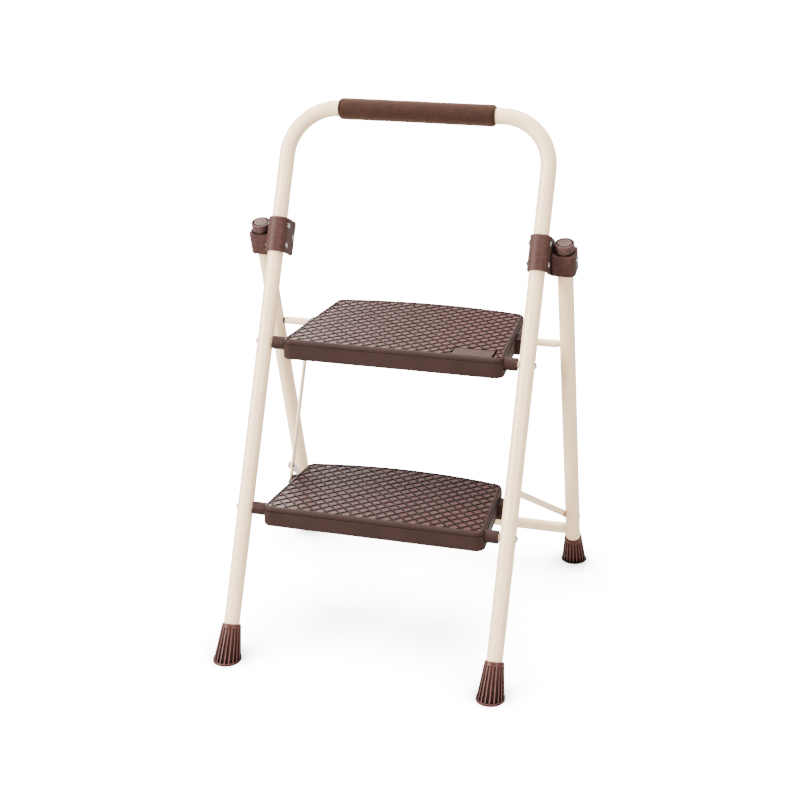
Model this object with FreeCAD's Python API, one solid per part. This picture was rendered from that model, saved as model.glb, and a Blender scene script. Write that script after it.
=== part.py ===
import FreeCAD, Part

import math
import os

V = FreeCAD.Vector

# Folding two-step stool, standing open. Millimetres and degrees.
# +X is the right side as seen from the front, +Y points back, +Z points up.
# The origin lies on the floor, in the middle of the space that the feet cover.

# Stance
FRONT_ANGLE = 24.2
REAR_ANGLE = 18.05

# Steel tubes
TUBE_OD = 25.0
TUBE_WALL = 1.2
FRONT_SPACING = 425.0
HANDLE_RISE = 886.5
HANDLE_BEND = 79.0
REAR_TOP = 24.0

# Clearances
PIN_FIT = 0.05
SEAT_FIT = 0.05
FOAM_FIT = 0.3
PLATE_GAP = 0.3

# Foam grip
GRIP_OD = 34.0
GRIP_LEFT_GAP = 0.5
GRIP_RIGHT_GAP = 11.0
GRIP_ROUND = 6.0

# Rubber feet, measured along the leg from the floor
FOOT_HEIGHT = 55.5
FOOT_TOP_RADIUS = 15.0
FOOT_BASE_RADIUS = 21.3
FOOT_TOP_ROUND = 1.2
FOOT_RIM_STEP = 1.0
FOOT_RIM_HEIGHT = 3.0
FOOT_SOLE = 16.0
FLUTE_COUNT = 20
FLUTE_PLAIN = 6.0
FLUTE_TOP_RADIUS = 1.5
FLUTE_TOP_DEPTH = 1.1
FLUTE_BASE_RADIUS = 2.6
FLUTE_BASE_DEPTH = 3.0

# Hinge brackets that join the front and rear legs
PIVOT_RISE = 678.0
PIVOT_BACK = 27.5
CLAMP_DROP = 1.0
CLAMP_HEIGHT = 55.0
CLAMP_WALL = 4.0
CLAMP_TAIL = 6.5
CLAMP_ROUND = 5.0
REAR_CLAMP_ABOVE = 12.0
REAR_CLAMP_BELOW = 24.5
REAR_CLAMP_WALL = 6.0
REAR_CLAMP_DEPTH = 18.0
REAR_CLAMP_ROUND = 9.0
REAR_CLAMP_EDGE = 1.5
CAP_RADIUS = 15.5
CAP_TOP = 3.0
CAP_LID = 8.5
CAP_NECK_RADIUS = 14.9
CAP_GROOVE_RADIUS = 12.0
CAP_GROOVE_WIDTH = 2.0
CAP_GROOVE_DEPTH = 1.6
CAP_ROUND = 1.5

# Rivets
PIVOT_RADIUS = 4.0
PIVOT_HEAD = 5.5
RIVET_RADIUS = 3.0
RIVET_HEAD = 4.5
RIVET_DOME = 2.0
CLAMP_RIVET_SPACING = 31.6
TUBE_FLAT = 0.6
TUBE_FLAT_MARGIN = 0.7

# Steps
UPPER_RISE = 505.0
LOWER_RISE = 241.0
UPPER_SIDE_DEPTH = 220.0
UPPER_MIDDLE_DEPTH = 238.5
LOWER_SIDE_DEPTH = 172.0
LOWER_MIDDLE_DEPTH = 191.0
STEP_NOSE = 19.0
STEP_TOP = 12.0
STEP_BOTTOM = 20.0
STEP_TAPER_ANGLE = 4.1
STEP_CORNER = 15.0
STEP_WALL = 3.4
TREAD_SKIN = 3.8
LIP_HEIGHT = 8.0
LIP_STEP = 1.0
LIP_ROUND = 4.5
APRON_ROUND = 2.0
TREAD_BORDER = 6.5
TREAD_RECESS = 1.9
TREAD_CORNER = 4.0
PLATE_LEFT = 97.0
PLATE_WIDTH = 61.5
PLATE_BACK = 16.0
RIB_DEPTH = 8.0
RIB_THICKNESS = 2.0
RIB_SPACING = 58.0
RIB_START = 14.0

# Step axles with their barrels and sleeves
AXLE_RADIUS = 4.0
AXLE_HEAD = 5.5
AXLE_DOME = 3.6
BARREL_RADIUS = 10.2
BARREL_LENGTH = 18.0
BARREL_ROOT = 4.0
SLEEVE_LENGTH = 2.4
SLEEVE_RADIUS = 5.5

# Upright links and slanting braces, cut from flat strip
LINK_BACK = 126.0
LINK_DROP = 15.5
STRIP_WIDTH = 11.0
LINK_THICKNESS = 3.0
BRACE_THICKNESS = 2.5
LINK_TO_LEG = 14.3
BRACE_ON_LINK = 36.0
BRACE_ON_LEG = 105.0
BRACE_TAB = 22.0
BRACE_BEND = 6.0
SHOULDER_RADIUS = 5.5
EAR_HALF = 14.0
EAR_TOP = 2.0
EAR_BOTTOM = 23.5
EAR_ROUND = 2.0

# Crossbars of the rear frame
UPPER_BAR_LEVEL = 10.4
UPPER_BAR_OD = 12.6
UPPER_BAR_NECK = 9.4
UPPER_BAR_GAP = 2.5
UPPER_BAR_CHAMFER = 1.0
UPPER_BAR_PAST_WALL = 1.0
LOWER_BAR_RISE = 72.5
LOWER_BAR_HEIGHT = 22.0
LOWER_BAR_THICKNESS = 12.0
NOTCH_GAP = 0.5
NOTCH_FLARE_ANGLE = 33.0

# Sizes that follow from the ones above
TUBE_RADIUS = TUBE_OD / 2
TUBE_BORE = TUBE_RADIUS - TUBE_WALL
SEAT_RADIUS = TUBE_RADIUS + SEAT_FIT
FRONT_X = FRONT_SPACING / 2
REAR_X = FRONT_X + TUBE_OD + CLAMP_WALL + PLATE_GAP + REAR_CLAMP_WALL + 2 * SEAT_FIT
CLAMP_RADIUS = SEAT_RADIUS + CLAMP_WALL
CLAMP_MIDDLE = PIVOT_RISE - CLAMP_DROP
REAR_CLAMP_RADIUS = SEAT_RADIUS + REAR_CLAMP_WALL
LEG_INNER = FRONT_X - TUBE_RADIUS
BARREL_END = LEG_INNER + TUBE_FLAT - SLEEVE_LENGTH - PLATE_GAP
STEP_HALF = BARREL_END - BARREL_LENGTH
LINK_OUTER = LEG_INNER - LINK_TO_LEG
LINK_INNER = LINK_OUTER - LINK_THICKNESS
EAR_FACE = LINK_INNER - PLATE_GAP
BRACE_INNER = LINK_OUTER + RIVET_DOME + 2 * PLATE_GAP
BRACE_AT_LEG = REAR_X - TUBE_RADIUS - PLATE_GAP - BRACE_THICKNESS
FOOT_SLOPE = (FOOT_BASE_RADIUS - FOOT_TOP_RADIUS) / FOOT_HEIGHT
FOOT_RIM_RADIUS = FOOT_BASE_RADIUS + FOOT_RIM_STEP


def sine(degrees):
    return math.sin(math.radians(degrees))


def cosine(degrees):
    return math.cos(math.radians(degrees))


def tangent(degrees):
    return math.tan(math.radians(degrees))


def foot_reach(lean):
    """How far a foot's rim lies from its leg's centre line, on the floor, away from the stool."""
    return FOOT_RIM_RADIUS / (cosine(lean) - FOOT_SLOPE * sine(lean))


# Where the legs' centre lines meet the floor
PIVOT_HEIGHT = PIVOT_RISE * cosine(FRONT_ANGLE) - PIVOT_BACK * sine(FRONT_ANGLE)
PIVOT_REACH = PIVOT_RISE * sine(FRONT_ANGLE) + PIVOT_BACK * cosine(FRONT_ANGLE)
FOOTPRINT = PIVOT_REACH + PIVOT_HEIGHT * tangent(REAR_ANGLE)
FRONT_GROUND = (foot_reach(FRONT_ANGLE) - foot_reach(REAR_ANGLE) - FOOTPRINT) / 2
REAR_GROUND = FRONT_GROUND + FOOTPRINT
REAR_LENGTH = PIVOT_HEIGHT / cosine(REAR_ANGLE)


def front_point(x, rise, back):
    """A point given along the front legs and square to them, behind."""
    y = FRONT_GROUND + rise * sine(FRONT_ANGLE) + back * cosine(FRONT_ANGLE)
    z = rise * cosine(FRONT_ANGLE) - back * sine(FRONT_ANGLE)
    return V(x, y, z)


def rear_point(x, rise):
    """A point on a rear leg's centre line, measured along it from the floor."""
    return V(x, REAR_GROUND - rise * sine(REAR_ANGLE), rise * cosine(REAR_ANGLE))


PIVOT = front_point(0, PIVOT_RISE, PIVOT_BACK)
UPPER_AXLE = front_point(0, UPPER_RISE, 0)
LOWER_AXLE = front_point(0, LOWER_RISE, 0)
UPPER_EAR = UPPER_AXLE + V(0, LINK_BACK, -LINK_DROP)
LOWER_EAR = LOWER_AXLE + V(0, LINK_BACK, -LINK_DROP)
LINK_PIN = LOWER_EAR + V(0, BRACE_ON_LINK * sine(FRONT_ANGLE), BRACE_ON_LINK * cosine(FRONT_ANGLE))
LEG_PIN = rear_point(0, BRACE_ON_LEG)
UPPER_BAR = rear_point(0, (UPPER_AXLE.z - UPPER_BAR_LEVEL) / cosine(REAR_ANGLE))
LOWER_BAR = rear_point(0, LOWER_BAR_RISE)
UPPER_BAR_DROP = (PIVOT.z - UPPER_BAR.z) / cosine(REAR_ANGLE)


# Plain solids and placing

def block(x0, x1, y0, y1, z0, z1):
    return Part.makeBox(x1 - x0, y1 - y0, z1 - z0, V(x0, y0, z0))


def rod(radius, x0, x1, y=0.0, z=0.0):
    """A cylinder that runs along X."""
    return Part.makeCylinder(radius, x1 - x0, V(x0, y, z), V(1, 0, 0))


def post(radius, z0, z1, x=0.0, y=0.0):
    """A cylinder that stands along Z."""
    return Part.makeCylinder(radius, z1 - z0, V(x, y, z0), V(0, 0, 1))


def turned(shape, degrees):
    """Turn a shape about the X axis through the origin."""
    shape.rotate(V(0, 0, 0), V(1, 0, 0), degrees)
    return shape


def moved(shape, offset):
    shape.translate(offset)
    return shape


def on_front_frame(shape):
    """From a frame with Z up the front legs to where the stool stands."""
    return moved(turned(shape, -FRONT_ANGLE), front_point(0, 0, 0))


def on_rear_frame(shape):
    """From a frame at the pivot with Z up the rear legs to where the stool stands."""
    return moved(turned(shape, REAR_ANGLE), PIVOT)


def mirrored(shape):
    return shape.mirror(V(0, 0, 0), V(1, 0, 0))


def edges_along(shape, direction):
    """Straight edges that run along one direction."""
    found = []
    for edge in shape.Edges:
        if len(edge.Vertexes) != 2:
            continue
        run = edge.Vertexes[1].Point - edge.Vertexes[0].Point
        if abs(run.dot(direction)) > 0.999 * edge.Length:
            found.append(edge)
    return found


def edges_at_height(shape, z):
    """Edges that lie in one level plane."""
    found = []
    for edge in shape.Edges:
        box = edge.BoundBox
        if abs(box.ZMin - z) < 0.01 and abs(box.ZMax - z) < 0.01:
            found.append(edge)
    return found


def dome_edge(x_flat, x_top, radius):
    """The arc of a rivet's domed head, from its top on the axis to its edge."""
    height = abs(x_top - x_flat)
    side = 1 if x_flat > x_top else -1
    ball = (radius ** 2 + height ** 2) / (2 * height)
    half = math.asin(min(1.0, radius / ball)) / 2
    middle = V(x_top + side * (ball - ball * math.cos(half)), ball * math.sin(half), 0)
    return Part.Arc(V(x_top, 0, 0), middle, V(x_flat, radius, 0)).toShape()


def rivet(x0, x1, shank, head, dome):
    """A rivet along X whose two domed heads close on the planes x0 and x1."""
    left = dome_edge(x0, x0 - dome, head)
    right = dome_edge(x1, x1 + dome, head)
    corners = [V(x0, head, 0), V(x0, shank, 0), V(x1, shank, 0), V(x1, head, 0)]
    sides = Part.makePolygon(corners).Edges
    axis = Part.makeLine(V(x0 - dome, 0, 0), V(x1 + dome, 0, 0))
    outline = Part.Wire(Part.__sortEdges__([left, right, axis] + sides))
    return Part.Face(outline).revolve(V(0, 0, 0), V(1, 0, 0), 360)


def half_rivet(x0, x1, shank, head, dome):
    """A rivet's shank from x0 with one domed head that closes on the plane x1."""
    right = dome_edge(x1, x1 + dome, head)
    corners = [V(x0, 0, 0), V(x0, shank, 0), V(x1, shank, 0), V(x1, head, 0)]
    sides = Part.makePolygon(corners).Edges
    axis = Part.makeLine(V(x0, 0, 0), V(x1 + dome, 0, 0))
    outline = Part.Wire(Part.__sortEdges__([right, axis] + sides))
    return Part.Face(outline).revolve(V(0, 0, 0), V(1, 0, 0), 360)


# Front frame

def front_path():
    """The centre line of the bent front tube: up one leg, over the handle and down the other."""
    foot = FOOT_SOLE
    bend = HANDLE_RISE - HANDLE_BEND
    inner = FRONT_X - HANDLE_BEND
    middle = HANDLE_BEND * cosine(45)
    left = Part.makeLine(V(-FRONT_X, 0, foot), V(-FRONT_X, 0, bend))
    left_arc = Part.Arc(V(-FRONT_X, 0, bend), V(-inner - middle, 0, bend + middle), V(-inner, 0, HANDLE_RISE))
    bar = Part.makeLine(V(-inner, 0, HANDLE_RISE), V(inner, 0, HANDLE_RISE))
    right_arc = Part.Arc(V(inner, 0, HANDLE_RISE), V(inner + middle, 0, bend + middle), V(FRONT_X, 0, bend))
    right = Part.makeLine(V(FRONT_X, 0, bend), V(FRONT_X, 0, foot))
    return Part.Wire([left, left_arc.toShape(), bar, right_arc.toShape(), right])


def round_pipe(path, radius):
    start = path.OrderedVertexes[0].Point
    circle = Part.Wire(Part.makeCircle(radius, start, V(0, 0, 1)))
    return path.makePipeShell([circle], True, False)


def clamp_rivet_rises():
    half = CLAMP_RIVET_SPACING / 2
    return [CLAMP_MIDDLE - half, CLAMP_MIDDLE + half]


def front_frame_tube():
    path = front_path()
    tube = round_pipe(path, TUBE_RADIUS).cut(round_pipe(path, TUBE_BORE))
    cuts = []
    for rise in (UPPER_RISE, LOWER_RISE):
        cuts.append(rod(AXLE_RADIUS + PIN_FIT, -FRONT_X - TUBE_OD, FRONT_X + TUBE_OD, 0, rise))
        for side in (-1, 1):
            flat = AXLE_HEAD + TUBE_FLAT_MARGIN
            for face in (-1, 1):
                near = side * FRONT_X + face * (TUBE_RADIUS - TUBE_FLAT)
                far = near + face * TUBE_FLAT * 2
                cuts.append(rod(flat, min(near, far), max(near, far), 0, rise))
    for rise in clamp_rivet_rises():
        for side in (-1, 1):
            centre = side * FRONT_X
            cuts.append(rod(RIVET_RADIUS + PIN_FIT, centre - TUBE_OD, centre + TUBE_OD, 0, rise))
    return on_front_frame(tube.cut(cuts))


def handle_grip():
    straight = FRONT_X - HANDLE_BEND
    left = -straight + GRIP_LEFT_GAP
    right = straight - GRIP_RIGHT_GAP
    foam = rod(GRIP_OD / 2, left, right, 0, HANDLE_RISE)
    foam = foam.makeFillet(GRIP_ROUND, [e for e in foam.Edges if len(e.Vertexes) == 1])
    bore = rod(TUBE_RADIUS + FOAM_FIT, left - 1, right + 1, 0, HANDLE_RISE)
    return on_front_frame(foam.cut(bore))


def step_axle(axle_point):
    seat = FRONT_X + TUBE_RADIUS - TUBE_FLAT
    return moved(rivet(-seat, seat, AXLE_RADIUS, AXLE_HEAD, AXLE_DOME), axle_point)


def step_sleeves(axle_point):
    """The two short sleeves between a step's barrels and the legs."""
    start = LEG_INNER + TUBE_FLAT - SLEEVE_LENGTH
    ring = rod(SLEEVE_RADIUS, start, start + SLEEVE_LENGTH)
    ring = ring.cut(rod(AXLE_RADIUS + PIN_FIT, start - 1, start + SLEEVE_LENGTH + 1))
    return moved(Part.makeCompound([ring, mirrored(ring)]), axle_point)


def front_clamp():
    """The right front clamp: it wraps the tube from the front and runs back as two cheeks."""
    low = CLAMP_MIDDLE - CLAMP_HEIGHT / 2
    high = CLAMP_MIDDLE + CLAMP_HEIGHT / 2
    end = PIVOT_BACK + CLAMP_TAIL
    cheeks = block(FRONT_X - CLAMP_RADIUS, FRONT_X + CLAMP_RADIUS, 0, end, low, high)
    rear_edges = [e for e in edges_along(cheeks, V(1, 0, 0)) if e.CenterOfMass.y > end - 0.1]
    cheeks = cheeks.makeFillet(CLAMP_ROUND, rear_edges)
    clamp = cheeks.fuse(post(CLAMP_RADIUS, low, high, FRONT_X)).removeSplitter()
    clamp = clamp.cut(post(SEAT_RADIUS, low - 1, high + 1, FRONT_X))
    clamp = clamp.cut(block(FRONT_X - SEAT_RADIUS, FRONT_X + SEAT_RADIUS, 0, end + 1, low - 1, high + 1))
    for rise in clamp_rivet_rises():
        clamp = clamp.cut(rod(RIVET_RADIUS + PIN_FIT, FRONT_X - TUBE_OD, FRONT_X + TUBE_OD, 0, rise))
    pin = rod(PIVOT_RADIUS + PIN_FIT, FRONT_X - TUBE_OD, FRONT_X + TUBE_OD, PIVOT_BACK, PIVOT_RISE)
    return clamp.cut(pin)


def clamp_rivets():
    """The two rivets that fix the right front clamp through its leg."""
    solids = []
    for rise in clamp_rivet_rises():
        pin = rivet(FRONT_X - CLAMP_RADIUS, FRONT_X + CLAMP_RADIUS, RIVET_RADIUS, RIVET_HEAD, RIVET_DOME)
        solids.append(moved(pin, V(0, 0, rise)))
    return Part.makeCompound(solids)


def pivot_rivet():
    """The right pivot rivet, through both cheeks and on through the rear clamp and its leg."""
    inner = FRONT_X - CLAMP_RADIUS
    outer = REAR_X + REAR_CLAMP_RADIUS + PLATE_GAP
    return moved(rivet(inner, outer, PIVOT_RADIUS, PIVOT_HEAD, RIVET_DOME), V(0, PIVOT_BACK, PIVOT_RISE))


# Feet

def foot_cone(base_radius, top_radius, top):
    """A cone along Z that is base_radius wide at the floor and goes on below it."""
    slope = (base_radius - top_radius) / top
    return Part.makeCone(base_radius + slope * top, top_radius, 2 * top, V(0, 0, -top), V(0, 0, 1))


def flute(angle):
    """A cutter for one flute, which fades in under the top and grows towards the floor."""
    start = FOOT_HEIGHT - FLUTE_PLAIN
    top_reach = FOOT_TOP_RADIUS + FOOT_SLOPE * FLUTE_PLAIN + FLUTE_TOP_RADIUS - FLUTE_TOP_DEPTH
    base_reach = FOOT_BASE_RADIUS + FLUTE_BASE_RADIUS - FLUTE_BASE_DEPTH
    run = V(base_reach - top_reach, 0, -start)
    end_radius = 2 * FLUTE_BASE_RADIUS - FLUTE_TOP_RADIUS
    cutter = Part.makeCone(FLUTE_TOP_RADIUS, end_radius, 2 * run.Length, V(top_reach, 0, start), run)
    cutter.rotate(V(0, 0, 0), V(0, 0, 1), angle)
    return cutter


def fluted_body():
    """A flared skirt with a rounded top edge and flutes that run down past the floor."""
    skirt = foot_cone(FOOT_BASE_RADIUS, FOOT_TOP_RADIUS, FOOT_HEIGHT)
    skirt = skirt.makeFillet(FOOT_TOP_ROUND, edges_at_height(skirt, FOOT_HEIGHT))
    return skirt.cut([flute(360.0 * number / FLUTE_COUNT) for number in range(FLUTE_COUNT)])


def foot(x, ground, lean):
    """A foot cut level with the floor, on a leg that leans back by the given angle."""
    wide = 4 * FOOT_BASE_RADIUS
    body = turned(fluted_body(), -lean)
    rim = turned(foot_cone(FOOT_RIM_RADIUS, FOOT_TOP_RADIUS + FOOT_RIM_STEP, FOOT_HEIGHT), -lean)
    body = body.common(block(-wide, wide, -wide, wide, 0, 2 * wide))
    rim = rim.common(block(-wide, wide, -wide, wide, 0, FOOT_RIM_HEIGHT))
    socket = turned(post(SEAT_RADIUS, FOOT_SOLE, FOOT_HEIGHT + 5), -lean)
    return moved(body.fuse(rim).cut(socket), V(x, ground, 0))


# Rear frame, in a frame at the pivot with Z up the rear legs

def rear_leg():
    low = -(REAR_LENGTH - FOOT_SOLE)
    tube = post(TUBE_RADIUS, low, REAR_TOP, REAR_X)
    tube = tube.cut(post(TUBE_BORE, low - 1, REAR_TOP + 1, REAR_X))
    inside = REAR_X - TUBE_OD
    outside = REAR_X + TUBE_OD
    pin_height = BRACE_ON_LEG - REAR_LENGTH
    flat = REAR_X + TUBE_RADIUS - TUBE_FLAT
    cuts = [
        rod(PIVOT_RADIUS + PIN_FIT, inside, outside),
        rod(RIVET_RADIUS + PIN_FIT, inside, outside, 0, pin_height),
        rod(RIVET_HEAD + TUBE_FLAT_MARGIN, flat, outside, 0, pin_height),
        rod(UPPER_BAR_NECK / 2 + SEAT_FIT, inside, REAR_X, 0, -UPPER_BAR_DROP),
    ]
    return tube.cut(cuts)


def upper_crossbar():
    """Round bar whose necked ends enter the legs, with a slim gap before each leg."""
    end = REAR_X - TUBE_RADIUS - UPPER_BAR_GAP
    neck_end = REAR_X - TUBE_RADIUS + TUBE_WALL + UPPER_BAR_PAST_WALL
    bar = rod(UPPER_BAR_OD / 2, -end, end)
    rims = [e for e in bar.Edges if len(e.Vertexes) == 1 and abs(abs(e.CenterOfMass.x) - end) < 0.1]
    bar = bar.makeChamfer(UPPER_BAR_CHAMFER, rims)
    bar = bar.fuse(rod(UPPER_BAR_NECK / 2, -neck_end, neck_end))
    return moved(bar, V(0, 0, -UPPER_BAR_DROP))


def flat_oval(height, thickness, reach):
    """A bar along X with an upright oval section: two flats joined by half rounds."""
    half = (height - thickness) / 2
    middle = block(-reach, reach, -thickness / 2, thickness / 2, -half, half)
    top = rod(thickness / 2, -reach, reach, 0, half)
    bottom = rod(thickness / 2, -reach, reach, 0, -half)
    return middle.fuse([top, bottom]).removeSplitter()


def lower_crossbar():
    """Flattened tube, coped at both ends to the round of the legs that it is welded to."""
    outer = flat_oval(LOWER_BAR_HEIGHT, LOWER_BAR_THICKNESS, REAR_X)
    inner = flat_oval(LOWER_BAR_HEIGHT - 2 * TUBE_WALL, LOWER_BAR_THICKNESS - 2 * TUBE_WALL, REAR_X + 1)
    bar = outer.cut(inner)
    for side in (-1, 1):
        bar = bar.cut(post(TUBE_RADIUS, -LOWER_BAR_HEIGHT, LOWER_BAR_HEIGHT, side * REAR_X))
    bar = max(bar.Solids, key=lambda solid: solid.Volume)
    return moved(bar, V(0, 0, LOWER_BAR_RISE - REAR_LENGTH))


def rear_clamp():
    """The right rear clamp, a block round the leg with well rounded outer corners."""
    low = -REAR_CLAMP_BELOW
    high = REAR_CLAMP_ABOVE
    inner = REAR_X - REAR_CLAMP_RADIUS
    outer = REAR_X + REAR_CLAMP_RADIUS
    body = block(inner, outer, -REAR_CLAMP_DEPTH, REAR_CLAMP_DEPTH, low, high)
    upright = edges_along(body, V(0, 0, 1))
    body = body.makeFillet(REAR_CLAMP_ROUND, [e for e in upright if e.CenterOfMass.x > REAR_X])
    body = body.makeFillet(REAR_CLAMP_EDGE, edges_at_height(body, low) + edges_at_height(body, high))
    body = body.cut(post(SEAT_RADIUS, low - 1, high + 1, REAR_X))
    return body.cut(rod(PIVOT_RADIUS + PIN_FIT, inner - 1, outer + 1))


def rear_cap():
    """The right leg's end cap, a cup with a ring groove in its top."""
    low = REAR_CLAMP_ABOVE + SEAT_FIT
    high = REAR_TOP + SEAT_FIT + CAP_TOP
    cap = post(CAP_RADIUS, high - CAP_LID, high, REAR_X)
    cap = cap.makeFillet(CAP_ROUND, edges_at_height(cap, high))
    cap = cap.fuse(post(CAP_NECK_RADIUS, low, high - CAP_LID, REAR_X))
    cap = cap.cut(post(SEAT_RADIUS, low - 1, REAR_TOP + SEAT_FIT, REAR_X))
    groove = post(CAP_GROOVE_RADIUS + CAP_GROOVE_WIDTH / 2, high - CAP_GROOVE_DEPTH, high + 1, REAR_X)
    groove = groove.cut(post(CAP_GROOVE_RADIUS - CAP_GROOVE_WIDTH / 2, high - 2, high + 2, REAR_X))
    return cap.cut(groove)


def brace_leg_rivet():
    """The right rivet that carries the brace on the inner side of the rear leg."""
    inner = BRACE_AT_LEG - PLATE_GAP
    outer = REAR_X + TUBE_RADIUS - TUBE_FLAT
    return moved(rivet(inner, outer, RIVET_RADIUS, RIVET_HEAD, RIVET_DOME), LEG_PIN)


# Steps, in a frame at the axle with Y back and Z up

def half_width(y, inset):
    """Half of a step's width at a depth behind the axle."""
    return STEP_HALF - (y + STEP_NOSE) * tangent(STEP_TAPER_ANGLE) - inset / cosine(STEP_TAPER_ANGLE)


def step_prism(side_depth, middle_depth, inset, z0, z1, corner):
    """The step's outline, moved in by inset and drawn up from z0 to z1, with rounded corners."""
    front = -STEP_NOSE + inset
    side = side_depth - inset
    wide = half_width(front, inset)
    narrow = half_width(side, inset)
    nose = Part.makeLine(V(-wide, front, z0), V(wide, front, z0))
    right = Part.makeLine(V(wide, front, z0), V(narrow, side, z0))
    back = Part.Arc(V(narrow, side, z0), V(0, middle_depth - inset, z0), V(-narrow, side, z0)).toShape()
    left = Part.makeLine(V(-narrow, side, z0), V(-wide, front, z0))
    prism = Part.Face(Part.Wire([nose, right, back, left])).extrude(V(0, 0, z1 - z0))
    return prism.makeFillet(corner, edges_along(prism, V(0, 0, 1)))


def step_shell(side_depth, middle_depth):
    """Tread and apron, open underneath."""
    ledge = STEP_TOP - LIP_HEIGHT
    apron = step_prism(side_depth, middle_depth, 0, -STEP_BOTTOM, ledge, STEP_CORNER)
    apron = apron.makeFillet(APRON_ROUND, edges_at_height(apron, -STEP_BOTTOM))
    lip = step_prism(side_depth, middle_depth, LIP_STEP, ledge - 1, STEP_TOP, STEP_CORNER - LIP_STEP)
    lip = lip.makeFillet(LIP_ROUND, edges_at_height(lip, STEP_TOP))
    shell = apron.fuse(lip)
    under = STEP_TOP - TREAD_SKIN
    hollow = step_prism(side_depth, middle_depth, STEP_WALL, -STEP_BOTTOM - 1, under, STEP_CORNER - STEP_WALL)
    shell = shell.cut(hollow)
    return shell.fuse(step_ribs(hollow, middle_depth, under))


def step_ribs(hollow, middle_depth, under):
    """Stiffening ribs under the tread, clear of the axle."""
    back = middle_depth
    count = int(half_width(back, 0) / RIB_SPACING)
    half = RIB_THICKNESS / 2
    ribs = []
    for number in range(-count, count + 1):
        x = number * RIB_SPACING
        ribs.append(block(x - half, x + half, RIB_START, back, under - RIB_DEPTH, under))
    across = RIB_START
    while across < back - RIB_SPACING / 2:
        ribs.append(block(-STEP_HALF, STEP_HALF, across, across + RIB_THICKNESS, under - RIB_DEPTH, under))
        across += RIB_SPACING
    grid = ribs[0].fuse(ribs[1:])
    return grid.common(hollow)


def tread_recess(side_depth, middle_depth, plate):
    """The shallow field that holds the lattice, around the bare plate if there is one."""
    floor = STEP_TOP - TREAD_RECESS
    field = step_prism(side_depth, middle_depth, TREAD_BORDER, floor, STEP_TOP + 1, TREAD_CORNER)
    if not plate:
        return field
    right = PLATE_LEFT + PLATE_WIDTH
    return field.cut(block(PLATE_LEFT, right, -STEP_NOSE, PLATE_BACK, STEP_TOP - 2, STEP_TOP + 2))


def ear_root():
    """Where the ear's flat inner face lies, inside the step's wall."""
    return half_width(LINK_BACK + EAR_HALF, STEP_WALL)


def ear():
    """The right lug that carries the link, standing out from the step's side."""
    lug = block(ear_root(), EAR_FACE, LINK_BACK - EAR_HALF, LINK_BACK + EAR_HALF, -EAR_BOTTOM, EAR_TOP)
    rim = edges_along(lug, V(0, 1, 0)) + edges_along(lug, V(0, 0, 1))
    outer = [e for e in rim if e.CenterOfMass.x > EAR_FACE - 0.1]
    return lug.makeFillet(EAR_ROUND, outer)


def barrel():
    """The right barrel that turns on the axle."""
    return rod(BARREL_RADIUS, STEP_HALF - STEP_WALL - BARREL_ROOT, BARREL_END)


def bar_notch():
    """What the upper crossbar sweeps clear of: a round seat that opens down and forward."""
    centre = UPPER_BAR - UPPER_AXLE
    radius = UPPER_BAR_OD / 2 + NOTCH_GAP
    down = -2 * EAR_BOTTOM
    front_y = centre.y - radius * cosine(NOTCH_FLARE_ANGLE)
    front_z = centre.z + radius * sine(NOTCH_FLARE_ANGLE)
    flare = front_y + (down - front_z) * tangent(NOTCH_FLARE_ANGLE)
    corners = [
        V(-FRONT_X, front_y, front_z),
        V(-FRONT_X, flare, down),
        V(-FRONT_X, centre.y + radius, down),
        V(-FRONT_X, centre.y + radius, centre.z),
    ]
    mouth = Part.Face(Part.makePolygon(corners + [corners[0]])).extrude(V(2 * FRONT_X, 0, 0))
    return mouth.fuse(rod(radius, -FRONT_X, FRONT_X, centre.y, centre.z))


def step(side_depth, middle_depth, upper):
    """A step. Only the upper one has the bare plate and comes down on the crossbar."""
    shell = step_shell(side_depth, middle_depth)
    shell = shell.cut(tread_recess(side_depth, middle_depth, upper))
    right = barrel().fuse(ear())
    shell = shell.fuse([right, mirrored(right)])
    bore = rod(AXLE_RADIUS + PIN_FIT, -FRONT_X, FRONT_X)
    pin = rod(RIVET_RADIUS + PIN_FIT, -FRONT_X, FRONT_X, LINK_BACK, -LINK_DROP)
    shell = shell.cut([bore, pin])
    if upper:
        shell = shell.cut(bar_notch())
    return shell


def ear_rivets(ear_point):
    """The two rivets that hold the links on a step's ears."""
    pin = rivet(ear_root(), LINK_OUTER + PLATE_GAP, RIVET_RADIUS, RIVET_HEAD, RIVET_DOME)
    return moved(Part.makeCompound([pin, mirrored(pin)]), ear_point)


# Links and braces

def strip_outline(x0, x1, length):
    """A flat strip with round ends, square to X, from the origin up to length."""
    half = STRIP_WIDTH / 2
    middle = block(x0, x1, -half, half, 0, length)
    ends = [rod(half, x0, x1), rod(half, x0, x1, 0, length)]
    return middle.fuse(ends).removeSplitter()


def step_link():
    """The right link, which keeps both steps parallel."""
    length = UPPER_RISE - LOWER_RISE
    link = strip_outline(LINK_INNER, LINK_OUTER, length)
    for height in (0, BRACE_ON_LINK, length):
        link = link.cut(rod(RIVET_RADIUS + PIN_FIT, LINK_INNER - 1, LINK_OUTER + 1, 0, height))
    return moved(turned(link, -FRONT_ANGLE), LOWER_EAR)


def link_pin():
    """The link's half of the brace rivet: inner head, shank and the shoulder that spaces the brace."""
    pin = mirrored(half_rivet(-LINK_OUTER, -LINK_INNER, RIVET_RADIUS, RIVET_HEAD, RIVET_DOME))
    shoulder = rod(SHOULDER_RADIUS, LINK_OUTER, BRACE_INNER - PLATE_GAP)
    return moved(pin.fuse(shoulder), LINK_PIN)


def brace_run():
    run = LINK_PIN - LEG_PIN
    return run.Length, math.degrees(math.atan2(-run.y, run.z))


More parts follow.
